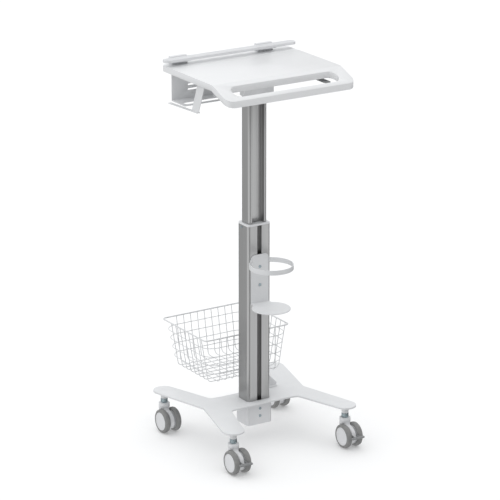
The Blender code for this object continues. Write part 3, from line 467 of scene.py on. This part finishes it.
def document_rail():
    """The grooved bar along the rear edge, with round ends."""
    (low_x, front, bottom), (high_x, rear, top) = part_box("document_rail")
    count, depth = 6, 0.0009
    pitch = (rear - front) / (count + 1)
    bar = soften(prism([stadium(low_x, high_x, front, rear)], "Z", bottom, top), 0.0012, 3)
    for i in range(count):
        middle = front + pitch * (i + 1)
        groove = [
            (middle - pitch * 0.16, top - depth),
            (middle + pitch * 0.16, top - depth),
            (middle + pitch * 0.30, top + 0.001),
            (middle - pitch * 0.30, top + 0.001),
        ]
        bar = cut(bar, prism([groove], "X", low_x - 0.01, high_x + 0.01))
    piece(bar, "document_rail_bar", "document_rail")


# Column -------------------------------------------------------------------------------------------------


def profile_of(name, node, outer, inner, ends):
    (_, _, bottom), (_, _, top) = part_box(node)
    body = prism([outer, inner], "Z", bottom, top)
    piece(from_axis(soften(body, ends, 2, 55)), name, node)


def lower_column():
    """The outer profile with its T-slot down the front."""
    x, y, corner, wall = high("lower_column").x, LOWER_Y, LOWER_CORNER, WALL
    half, under, deep = 0.0075, 0.0100, 0.016
    lip, floor = -y + wall, -y + deep
    left = [(-x, y, corner), (-x, -y, corner), (-half, -y, 0.0006), (-half, lip, 0), (-under, lip, 0)]
    left.append((-under, floor, 0))
    right = [(-px, py, radius) for px, py, radius in reversed(left)]
    outer = rounded(left + right)
    inner_x, inner_y, hump, crest = x - wall, y - wall, under + wall, floor + wall
    inner_left = [
        (-inner_x, inner_y, corner - wall),
        (-inner_x, -inner_y, corner - wall),
        (-hump, -inner_y, 0),
        (-hump, crest, 0),
    ]
    inner = rounded(inner_left + [(-px, py, radius) for px, py, radius in reversed(inner_left)])
    profile_of("lower_column_profile", "lower_column", outer, inner, 0.0004)


def upper_column():
    """The sliding profile with its deep front channel."""
    x, y, corner, wall = high("upper_column").x, UPPER_Y, UPPER_CORNER, WALL
    half, floor = CHANNEL_HALF, CHANNEL_DEPTH - UPPER_Y
    left = [(-x, y, corner), (-x, -y, corner), (-half, -y, 0.0006), (-half, floor, 0.001)]
    outer = rounded(left + [(-px, py, radius) for px, py, radius in reversed(left)])
    inner_x, inner_y, lobe, crest = x - wall, y - wall, half + wall, floor + wall
    inner_left = [
        (-inner_x, inner_y, 0.004),
        (-inner_x, -inner_y, 0.002),
        (-lobe, -inner_y, 0),
        (-lobe, crest, 0),
    ]
    inner = rounded(inner_left + [(-px, py, radius) for px, py, radius in reversed(inner_left)])
    profile_of("upper_column_profile", "upper_column", outer, inner, 0.0003)


def guide_collar():
    """The white cap round the upper profile, with a tongue that fills its front channel."""
    (_, _, bottom), (x, _, top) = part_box("guide_collar")
    outer = box_outline(-x, x, -LOWER_Y, LOWER_Y, LOWER_CORNER)
    open_x, open_y = high("upper_column").x + RUNNING, UPPER_Y + RUNNING
    tongue, tip = CHANNEL_HALF - RUNNING, CHANNEL_DEPTH - UPPER_Y - RUNNING
    left = [
        (-open_x, open_y, UPPER_CORNER),
        (-open_x, -open_y, UPPER_CORNER),
        (-tongue, -open_y, 0),
        (-tongue, tip, 0),
    ]
    inner = rounded(left + [(-px, py, radius) for px, py, radius in reversed(left)])
    cap = soften(prism([outer, inner], "Z", bottom, top), 0.0010, 3, 55)
    piece(from_axis(cap), "guide_collar_cap", "guide_collar")


def foot_housing():
    """The cover below the plate, with its two screw holes."""
    (_, _, bottom), (x, _, top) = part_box("foot_housing")
    y, corner, wall = 0.035, 0.010, 0.0032
    cup = prism([box_outline(-x, x, -y, y, corner)], "Z", bottom, top)
    inside = box_outline(wall - x, x - wall, wall - y, y - wall, corner - wall)
    well = prism([inside], "Z", bottom + wall, top + 0.01)
    cup = soften(cut(cup, well), 0.0012, 3, 55)
    for screw in ("foot_screw_lower", "foot_screw_upper"):
        level = (low(screw).z + high(screw).z) / 2
        cup = cut(cup, prism([circle(0, level, 0.0028)], "Y", -y - 0.002, wall + 0.002 - y))
    piece(from_axis(cup), "foot_housing_cover", "foot_housing")


# Base ---------------------------------------------------------------------------------------------------


def base_plate():
    """The plate: a middle bar, four legs with round ends and a boss under each end."""
    stem_y, leg_end, vee_x, notch = 0.203, 0.0335, 0.182, (0.121, 0.061)
    angles = []
    for (x, y), side in (((vee_x, 0), 1), (notch, -1)):
        away = math.hypot(x - STEM_X, y - stem_y)
        towards = math.atan2(y - stem_y, x - STEM_X)
        angles.append(math.degrees(towards + side * math.acos(leg_end / away)))
    end = arc(STEM_X, stem_y, leg_end, angles[0], angles[1] + 360)
    quarter = [(x, y, 0) for x, y in end] + [(*notch, 0.016), (0.085, 0.057, 0.03)]
    half = quarter + [(-x, y, radius) for x, y, radius in reversed(quarter)] + [(-vee_x, 0, 0.014)]
    outline = rounded(half + [(-x, -y, radius) for x, y, radius in half])
    hole = box_outline(-0.0406, 0.0406, -LOWER_Y - GAP, LOWER_Y + GAP, LOWER_CORNER)
    plate = soften(prism([outline, hole], "Z", PLATE_TOP - PLATE_THICK, PLATE_TOP), 0.0011, 3, 55)
    under, seat = PLATE_TOP - PLATE_THICK, high("caster_fl_stem").z - 0.0180 + 0.0003
    bosses = []
    for side_x in (-1, 1):
        for side_y in (-1, 1):
            profile = [
                (0.0054, seat),
                (0.0098, seat),
                (0.0102, seat + 0.0006),
                (0.0117, under - 0.004),
                (0.0140, under - 0.0006),
                (0.0140, under + 0.001),
                (0.0054, under + 0.001),
            ]
            place = Matrix.Translation((side_x * STEM_X, side_y * stem_y, 0))
            bosses.append(turned(profile, 48, True, place))
    piece(from_axis(gather([plate, *bosses])), "base_plate_painted", "base_plate")


# Casters ------------------------------------------------------------------------------------------------


def wheel_place(label, side):
    """Where a turned wheel, whose outer face looks up, goes beside the swivel's web."""
    lowest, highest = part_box(f"caster_{label}_tyre_{'left' if side < 0 else 'right'}")
    middle = (lowest + highest) / 2
    return Matrix.Translation(middle) @ Matrix.Rotation(side * math.pi / 2, 4, "Y")


def wheels(label):
    for hand, side in (("left", -1), ("right", 1)):
        place = wheel_place(label, side)
        half, bead = 0.009, 0.0287
        section = [
            (bead + GAP, half - 0.0006),
            (bead + 0.0009, half),
            (WHEEL_RADIUS - 0.0052, half - 0.0002),
            (WHEEL_RADIUS - 0.0030, half - 0.0012),
            (WHEEL_RADIUS - 0.0011, half - 0.0030),
            (WHEEL_RADIUS - 0.0003, half - 0.0050),
            (WHEEL_RADIUS, half - 0.0066),
            (WHEEL_RADIUS, 0.0066 - half),
            (WHEEL_RADIUS - 0.0003, 0.0050 - half),
            (WHEEL_RADIUS - 0.0011, 0.0030 - half),
            (WHEEL_RADIUS - 0.0030, 0.0012 - half),
            (bead + 0.0009, -half),
            (bead + GAP, 0.0006 - half),
        ]
        tyre = turned(section, 96, True, place)
        piece(tyre, f"caster_{label}_tread_{hand}", f"caster_{label}_tyre_{hand}")
        face = half - 0.0006
        core = [
            (0, face - 0.0004),
            (0.0200, face - 0.0004),
            (0.0250, face - 0.0002),
            (0.0262, face - 0.0009),
            (0.0270, face - 0.0009),
            (0.0276, face),
            (bead - 0.0006, face),
            (bead, face - 0.0006),
            (bead, -face),
            (0.0245, -face),
            (0.0235, 0.0015 - face),
            (0.0095, 0.0015 - face),
            (0.0088, -face),
            (0.0043, -face),
            (0.0043, face - 0.005),
            (0, face - 0.005),
        ]
        disc = turned(core, 96, False, place)
        piece(disc, f"caster_{label}_disc_{hand}", f"caster_{label}_wheel_{hand}")


def swivel(label, with_pedal):
    """The swivel: a web between the wheels under a round collar with a seam at mid height."""
    trail, web_half, well = 0.023, 0.0068, WHEEL_RADIUS + 0.0013
    axle = (-trail, WHEEL_RADIUS)
    outline = arc(*axle, 0.029, 40, -270)
    outline += [(-0.0155, 0.0700), (0.0155, 0.0700), (0.0155, 0.0610)]
    body = prism([outline], "X", -web_half, web_half)
    top, radius, seam = 0.0896, 0.017, 0.0757
    collar = [
        (0, top),
        (radius - 0.0020, top),
        (radius - 0.0006, top - 0.0005),
        (radius, top - 0.0018),
        (radius, seam + 0.0009),
        (radius - 0.0004, seam + 0.0003),
        (radius - 0.0012, seam),
        (radius - 0.0004, seam - 0.0003),
        (radius, seam - 0.0009),
        (radius, 0.0650),
        (0, 0.0650),
    ]
    body = weld(body, turned(collar, 60))
    for side in (-1, 1):
        near, far = sorted((side * (web_half + 0.0028), side * 0.030))
        body = cut(body, prism([circle(*axle, well)], "X", near, far))
    body = cut(body, prism([circle(0, 0, 0.0066)], "Z", 0.0585, top + 0.002))
    body = cut(body, prism([circle(*axle, 0.0043)], "X", -0.02, 0.02))
    if with_pedal:
        body = cut(body, prism([circle(-0.044, 0.044, 0.0026)], "X", -0.02, 0.02))
    middle = (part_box(f"caster_{label}_stem")[0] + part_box(f"caster_{label}_stem")[1]) / 2
    body.data.transform(Matrix.Translation((middle.x, middle.y, 0)))
    piece(soften(body, 0.0005, 2, 50), f"caster_{label}_swivel_body", f"caster_{label}_housing")


# Holder and basket --------------------------------------------------------------------------------------


def canister_holder():
    """The plate that is bent forward into a round shelf, and the open band above it."""
    (_, _, bottom), (half, rear, top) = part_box("canister_shelf")
    (_, _, ring_low), (ring_radius, _, ring_high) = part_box("canister_ring")
    sheet, back, shelf_radius, shelf_y = 0.0025, -LOWER_Y - GAP, 0.059, -0.0974
    front, plate_half = back - sheet, 0.0315
    face = rounded(
        [
            (plate_half, top, 0.014),
            (-plate_half, top, 0.014),
            (-plate_half, bottom, 0),
            (plate_half, bottom, 0),
        ]
    )
    plate = prism([face], "Y", front, back)
    neck = math.degrees(math.asin(plate_half / shelf_radius))
    inside, buried = plate_half - 0.0003, back - sheet / 2
    shelf = arc(0, shelf_y, shelf_radius, 90 + neck, 450 - neck)
    shelf += [(inside, front), (inside, buried), (-inside, buried), (-inside, front)]
    plate = weld(plate, prism([shelf], "Z", bottom, bottom + sheet))
    for screw in ("holder_screw_lower", "holder_screw_upper"):
        level = (low(screw).z + high(screw).z) / 2
        plate = cut(plate, prism([circle(0, level, 0.0028)], "Y", front - 0.002, back + 0.002))
    piece(from_axis(soften(plate, SHEET_BEND, 2, 50)), "canister_shelf_plate", "canister_shelf")
    middle, band, near = -0.0978, 0.0022, plate_half + GAP
    far, inner_radius = near + band, ring_radius - band
    outer_turn = math.degrees(math.asin(far / ring_radius))
    inner_turn = math.degrees(math.asin(near / inner_radius))
    outer = arc(0, middle, ring_radius, 90 + outer_turn, 450 - outer_turn)
    inner = arc(0, middle, inner_radius, 90 + inner_turn, 450 - inner_turn)
    outline = outer + [(far, back), (near, back)] + inner[::-1] + [(-near, back), (-far, back)]
    ring = prism([outline], "Z", ring_low, ring_high)
    piece(from_axis(soften(ring, SHEET_BEND, 3, 50)), "canister_ring_band", "canister_ring")


def basket():
    """The basket in round wire: a thick rim, four rings, and wires bent down, across and up again."""
    rim_half, rim_front, rim_rear, rim_wire = 0.1526, 0.037, 0.2935, 0.0023
    thin, pitch, lean, floor, layer, bend = 0.0012, 0.0253, 0.022, 0.187, 0.0016, 0.014
    rim = box_outline(-rim_half, rim_half, rim_front, rim_rear, 0.0125)
    rim = wire([(x, y, RIM_Z) for x, y in rim], rim_wire, True, 5)
    piece(from_axis(rim), "basket_rim_wire", "basket_rim")
    top = RIM_Z - rim_wire - GAP

    def bent(high_a, low_a, low_b, high_b):
        first = arc(low_a + bend, floor + bend, bend, 180, 270, math.radians(9))
        second = arc(low_b - bend, floor + bend, bend, 270, 360, math.radians(9))
        return [(high_a, top)] + first + second + [(high_b, top)]

    wires = []
    for i in range(9):
        x = (i - 4) * pitch
        route = bent(rim_front, rim_front, rim_rear - lean, rim_rear)
        wires.append(wire([(x, y, z) for y, z in route], thin))
    for i in range(8):
        y = 0.060 + i * pitch
        route = bent(-rim_half, lean - rim_half, rim_half - lean, rim_half)
        wires.append(wire([(x, y, z - layer if z < top else z) for x, z in route], thin))
    for i in range(4):
        height = RIM_Z - 0.0283 * (i + 1)
        inset = lean * (RIM_Z - height) / (RIM_Z - floor) - layer
        route = box_outline(inset - rim_half, rim_half - inset, rim_front - layer, rim_rear - inset, 0.042)
        wires.append(wire([(x, y, height) for x, y in route], thin, True))
    piece(from_axis(gather(wires)), "basket_wires", "basket_mesh")


# Stage --------------------------------------------------------------------------------------------------


def floor():
    """A plain pale floor; the trolley's own surfaces are lit by the cards instead of by it."""
    mesh = bpy.data.meshes.new("studio_floor")
    reach = 40.0
    corners = [(-reach, -reach, 0), (reach, -reach, 0), (reach, reach, 0), (-reach, reach, 0)]
    mesh.from_pydata(corners, [], [(0, 1, 2, 3)])
    obj = bpy.data.objects.new("studio_floor", mesh)
    bpy.context.scene.collection.objects.link(obj)
    look = Look("studio_floor", (0.90, 0.90, 0.90), 0.9, Specular_IOR_Level=0.0)
    look.shader.inputs["Emission Color"].default_value = (1, 1, 1, 1)
    look.shader.inputs["Emission Strength"].default_value = 0.11
    mesh.materials.append(look.material)
    obj.visible_glossy = False
    obj.visible_diffuse = False


def studio():
    """Soft light: a sky that is brightest overhead and behind, over a ring of light and dark cards."""
    world = bpy.data.worlds.new("studio")
    world.use_nodes = True
    bpy.context.scene.world = world
    tree = world.node_tree
    background = tree.nodes["Background"]
    direction = tree.nodes.new("ShaderNodeSeparateXYZ")
    tree.links.new(tree.nodes.new("ShaderNodeTexCoord").outputs["Generated"], direction.inputs["Vector"])

    def maths(operation, *values):
        node = tree.nodes.new("ShaderNodeMath")
        node.operation = operation
        for socket, value in zip(node.inputs, values):
            if isinstance(value, (int, float)):
                socket.default_value = value
            else:
                tree.links.new(value, socket)
        return node.outputs[0]

    peak = 4.0  # a ramp's colours stay below 1, so its levels are held divided by this

    def ramp(value, stops):
        node = tree.nodes.new("ShaderNodeValToRGB")
        node.color_ramp.interpolation = "B_SPLINE"
        elements = node.color_ramp.elements
        while len(elements) > 1:
            elements.remove(elements[-1])
        elements[0].position = stops[0][0]
        elements[0].color = (*[stops[0][1] / peak] * 3, 1)
        for position, level in stops[1:]:
            elements.new(position).color = (*[level / peak] * 3, 1)
        tree.links.new(value, node.inputs["Fac"])
        return maths("MULTIPLY", node.outputs["Color"], peak)

    turn = maths("ARCTAN2", direction.outputs["Y"], direction.outputs["X"])
    turn = maths("ADD", maths("DIVIDE", turn, 2 * math.pi), 0.5)
    cards = ramp(
        turn,
        [
            (0.00, 1.25),
            (0.06, 1.25),
            (0.13, 1.25),
            (0.18, 0.35),
            (0.24, 0.30),
            (0.29, 1.20),
            (0.40, 1.20),
            (0.46, 0.10),
            (0.62, 0.00),
            (0.72, 0.40),
            (0.88, 0.70),
            (0.95, 1.20),
            (1.00, 1.25),
        ],
    )
    around = [(0.0, 0.65), (0.25, 0.00), (0.5, 0.28), (0.68, 0.95), (0.82, 0.90), (1.0, 0.65)]
    horizon = ramp(turn, around)
    rise = ramp(direction.outputs["Z"], [(0.0, 0.0), (0.5, 0.5), (1.0, 1.0)])
    sky = maths("MULTIPLY", horizon, maths("SUBTRACT", 1.0, rise))
    sky = maths("ADD", sky, maths("MULTIPLY", rise, 1.38))
    above = maths("GREATER_THAN", direction.outputs["Z"], 0.0)
    below = maths("MULTIPLY", cards, maths("SUBTRACT", 1.0, above))
    level = maths("ADD", maths("MULTIPLY", sky, above), below)
    tree.links.new(level, background.inputs["Strength"])
    background.inputs["Color"].default_value = (0.985, 0.993, 1.0, 1)


def camera():
    data = bpy.data.cameras.new("camera")
    data.lens = 204.4
    data.sensor_width = 36
    obj = bpy.data.objects.new("camera", data)
    obj.location = (-4.3944, -6.9229 + AXIS_Y, 3.2502)
    obj.rotation_euler = (math.radians(72.13), 0, math.radians(-32.32))
    bpy.context.scene.collection.objects.link(obj)
    bpy.context.scene.camera = obj


def build():
    for node, obj in frame["nodes"].items():
        obj.data.materials.clear()
        obj.data.materials.append(LOOKS[SLOTS[node]].material)
    worktop()
    document_rail()
    lower_column()
    upper_column()
    guide_collar()
    foot_housing()
    base_plate()
    canister_holder()
    basket()
    for label, with_pedal in (("fl", True), ("fr", True), ("rl", False), ("rr", False)):
        wheels(label)
        swivel(label, with_pedal)
        eased(f"caster_{label}_stem", 0.0003)
        if with_pedal:
            eased(f"caster_{label}_brake_pedal", 0.0006)
    for node, width in (
        ("rail_bracket_left", 0.0008),
        ("rail_bracket_right", 0.0008),
        ("adapter_tray", 0.0004),
        ("cable_strap", 0.0003),
        ("head_bracket", 0.0005),
        ("release_lever", 0.0006),
        ("basket_bracket", 0.0005),
        ("cable_hook", 0.0004),
        ("collar_screw_left", 0.0002),
        ("collar_screw_right", 0.0002),
        ("foot_screw_lower", 0.0002),
        ("foot_screw_upper", 0.0002),
        ("holder_screw_lower", 0.0002),
        ("holder_screw_upper", 0.0002),
    ):
        eased(node, width)


build()
floor()
studio()
camera()
bpy.context.scene.view_settings.view_transform = "Standard"
